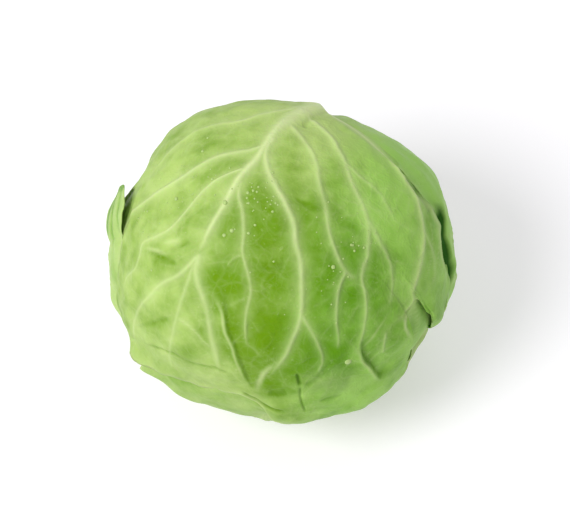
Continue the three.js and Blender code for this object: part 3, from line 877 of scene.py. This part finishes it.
def left_relief(out, margin):
    notes = blank_notes(out)
    flat = out * HALF[2]
    free = 1 - covered(out, "leaf_left")
    rise = raise_ribs(out, feather((11.6, -110), (120, -130), pairs=6, reach=44, seed=31), notes)
    form = 0.4 * waves(flat, 40, 32) + 0.25 * waves(flat, 15, 33)
    form += 0.3 * np.exp(-margin / 6) * waves(flat, 14, 34)
    curl = np.zeros(len(out))
    near, side, _ = beside(out, LOBE_HINGE, 60)
    curl[near] = 5.2 * (1 - np.exp(-np.maximum(side, 0) / 10))
    form = form * free - SETTLED * (1 - free) + curl
    form -= lie_down(out, "leaf_left", margin, 8) * np.clip(1 - curl / 3, 0, 1)
    form -= lift_along(out, TUCKED_EDGE, 1.1, 2)
    folds = np.zeros(len(out))
    for places in LOBE_FOLDS:
        near, side, along = beside(out, places, 6)
        folds[near] += np.sin(np.pi * along) * bell(side / 1.3)
    form -= 0.7 * folds
    # Painted shade: the folds are also painted a deeper green
    notes["deep"] += 0.25 * waves(flat, 30, 35) - 0.6 + 1.3 * folds
    # Painted shade: a dark line along the lobe's curled edge, which leaves out its pale rim there
    rolled_edge_shade = lift_along(out, LOBE_ROLL_SHADE, 1, 1.5)
    notes["deep"] += 2.2 * rolled_edge_shade
    notes["rim"] += 0.7 * (1 - rolled_edge_shade) * np.exp(-margin / 1.5)
    return form, rise * free, notes


outer_leaf = leaf_finish("outer_leaf", light=(0.40, 0.56, 0.17, 1), deep=(0.13, 0.30, 0.015, 1),
                         vein=(0.56, 0.69, 0.30, 1), seed=0.53)
wrap_leaf("left_leaf_blade", "leaf_left", left_relief, across=250, ripple=0.5, seed=36,
          finish=outer_leaf)

# --------------------------------------------------------
# Right leaf: the outermost wrapper leaf, round the right and back of the head and under it.
# Its front edge stands a little off the front leaf, with a slit between them whose shade is
# painted dark on both leaves.
# --------------------------------------------------------
SLIT = [(84.2, 57.5), (84, 61.5), (83.2, 66), (82.8, 70), (83.2, 73.4), (84.7, 75.2), (86.8, 76.4),
        (88.8, 77), (91.5, 77.8), (93.8, 81.6), (94.4, 88), (95.8, 92.5), (98.6, 97)]
SLIT_DEPTH = 2.4  # mm
PRESSED_EDGE = [(40, 25), (52, 22), (62, 27), (70, 34), (76, 41.5)]


def right_relief(out, margin):
    notes = blank_notes(out)
    flat = out * HALF[2]
    rise = raise_ribs(out, feather((11.6, 115), (122, 132), pairs=6, reach=44, seed=41), notes)
    form = 0.4 * waves(flat, 40, 42) + 0.25 * waves(flat, 15, 43)
    form += 0.25 * np.exp(-margin / 6) * waves(flat, 14, 44)
    form -= lie_down(out, "leaf_right", margin)
    form -= 1.8 * hump(out, (62, 40), 20)
    form += 2 * hump(out, (68, 70), 10)
    form -= lift_along(out, PRESSED_EDGE, 1.2, 2.5)
    near, side, along = beside(out, SLIT, 22)
    slit_dip_and_shade = np.zeros(len(out))
    slit_dip_and_shade[near] = (step(along, 0.04, 0.26) * step(along, 1, 0.9)
                  * np.exp(-(side.clip(0) / 1.5) ** 2 - (side.clip(None, 0) / 16) ** 4))
    form -= SLIT_DEPTH * slit_dip_and_shade * (1 - 0.6 * hump(out, (85.6, 74.2), 4))
    # Painted shade: the slit is painted dark along this leaf's front edge
    notes["crease_shade"] += slit_dip_and_shade
    notes["cool"] += coolness(out)
    # Painted light: paler round (72, 60), high on the right, to stand in for light that reaches it
    # there
    notes["deep"] += 0.25 * waves(flat, 30, 45) - 0.7 - 0.9 * hump(out, (72, 60), 22)
    notes["rim"] += 0.7 * (1 - slit_dip_and_shade) * np.exp(-margin / 1.5)
    return form, rise, notes


wrap_leaf("right_leaf_blade", "leaf_right", right_relief, across=260, ripple=0.5, seed=46,
          finish=outer_leaf)

# --------------------------------------------------------
# Water beads: fine drops of rinsing water that cling to the waxy front leaf, mostly in clusters
# beside the midrib, with one large drop low on the right. Each is a flattened ball half sunk in.
# --------------------------------------------------------
BEADS = [  # place, diameter in mm
    ((78, -27), 1.7), ((97, -11), 1.8), ((97, -8), 1.4), ((109, -17), 2.3), ((104, -3), 1.4),
    ((108, -9), 1.5), ((110, -20), 2.0), ((90, -23), 1.6), ((112, 30), 1.4), ((150, 52), 3.6),
    ((72, -26), 1.5), ((120, -3), 1.2), ((87, -17), 1.2), ((127, 66), 1.2),
]
BEAD_CLUSTERS = [  # place, spread in degrees, count
    ((101, -9), 12, 36), ((112, 25), 13, 22), ((92, -30), 14, 26), ((128, 20), 16, 12),
    ((98, -46), 12, 16),
]
BIG_BEAD = 3  # mm; wider ones get more faces
rng = np.random.default_rng(77)
for place, spread, count in BEAD_CLUSTERS:
    for _ in range(count):
        off = rng.normal(0, spread / 2, 2)
        BEADS.append(((place[0] + off[0], place[1] + off[1]), 0.65 + rng.exponential(0.28)))
outer_face = front_mesh.vertices[:(FRONT_ACROSS + 1) ** 2]
front_points = np.array([vert.co[:] for vert in outer_face]) / MM - CENTRE
front_out = front_points / np.linalg.norm(front_points, axis=1, keepdims=True)
bead_bm = bmesh.new()
for place, wide in BEADS:
    facing = towards(place)[0]
    nearest = np.argsort(-(front_out @ facing))[:3]
    out = Vector(facing)
    spot = Vector(CENTRE + facing * np.linalg.norm(front_points[nearest], axis=1).mean())
    fine = 14 if wide > BIG_BEAD else 8
    made = bmesh.ops.create_uvsphere(bead_bm, u_segments=fine, v_segments=fine * 3 // 4,
                                     radius=wide / 2)
    turn = out.to_track_quat("Z", "Y").to_matrix().to_4x4()
    squash = Matrix.Diagonal((1, rng.uniform(0.85, 1), 0.55, 1))
    bmesh.ops.transform(bead_bm, matrix=Matrix.Translation(spot) @ turn @ squash,
                        verts=made["verts"])
bead_mesh = mesh_from("water_beads", bead_bm)
water, start = new_material("water")
finish_surface(start, (0.44, 0.6, 0.2, 1), 0.25, {"IOR": 1.33, "Transmission Weight": 0.15})
new_piece("water_beads", bead_mesh, water, None)

# --------------------------------------------------------
# Studio: a plain pale floor, a big soft lamp high on the left, a weak one behind, and even white
# light around. The camera looks down at 60 degrees on the head's front, which is towards -Y.
# --------------------------------------------------------
floor_bm = bmesh.new()
bmesh.ops.create_grid(floor_bm, x_segments=2, y_segments=2, size=6 / MM)
floor_mesh = mesh_from("studio_floor", floor_bm)
floor_paint, start = new_material("floor_paint")
finish_surface(start, (0.7, 0.69, 0.72, 1), 0.9, {
    "Specular IOR Level": 0.1, "Emission Color": (1, 0.99, 1, 1), "Emission Strength": 0.33})
floor = bpy.data.objects.new("studio_floor", floor_mesh)
floor_mesh.materials.append(floor_paint)
bpy.context.collection.objects.link(floor)

world = bpy.data.worlds.new("studio_world")
world.use_nodes = True
world.node_tree.nodes["Background"].inputs["Color"].default_value = (1, 1, 1, 1)
world.node_tree.nodes["Background"].inputs["Strength"].default_value = 0.55
bpy.context.scene.world = world

AIM = Vector(CENTRE * MM)
LAMPS = [((-0.93, -0.67, 1.4), 0.8, 24), ((0.35, 0.85, 1.5), 1.3, 3.5)]  # metres, metres, watts
for index, (stand, wide, watts) in enumerate(LAMPS):
    lamp = bpy.data.lights.new(f"soft_lamp_{index}", "AREA")
    lamp.shape, lamp.size, lamp.energy = "DISK", wide, watts
    holder = bpy.data.objects.new(f"soft_lamp_{index}", lamp)
    holder.location = AIM + Vector(stand)
    holder.rotation_euler = Vector(stand).to_track_quat("Z", "Y").to_euler()
    bpy.context.collection.objects.link(holder)

CAMERA_UP = Vector((0, 0.866, 0.5))
CAMERA_OUT = Vector((0, -0.5, 0.866))
CAMERA_AWAY = 1.1
target = AIM + Vector((0.0015, 0, 0)) + CAMERA_UP * 0.00275
lens = bpy.data.cameras.new("camera")
lens.sensor_width, lens.lens = 36, 138.9
camera = bpy.data.objects.new("camera", lens)
camera.location = target + CAMERA_OUT * CAMERA_AWAY
camera.rotation_euler = CAMERA_OUT.to_track_quat("Z", "Y").to_euler()
bpy.context.collection.objects.link(camera)
bpy.context.scene.camera = camera
bpy.context.scene.view_settings.view_transform = "Standard"
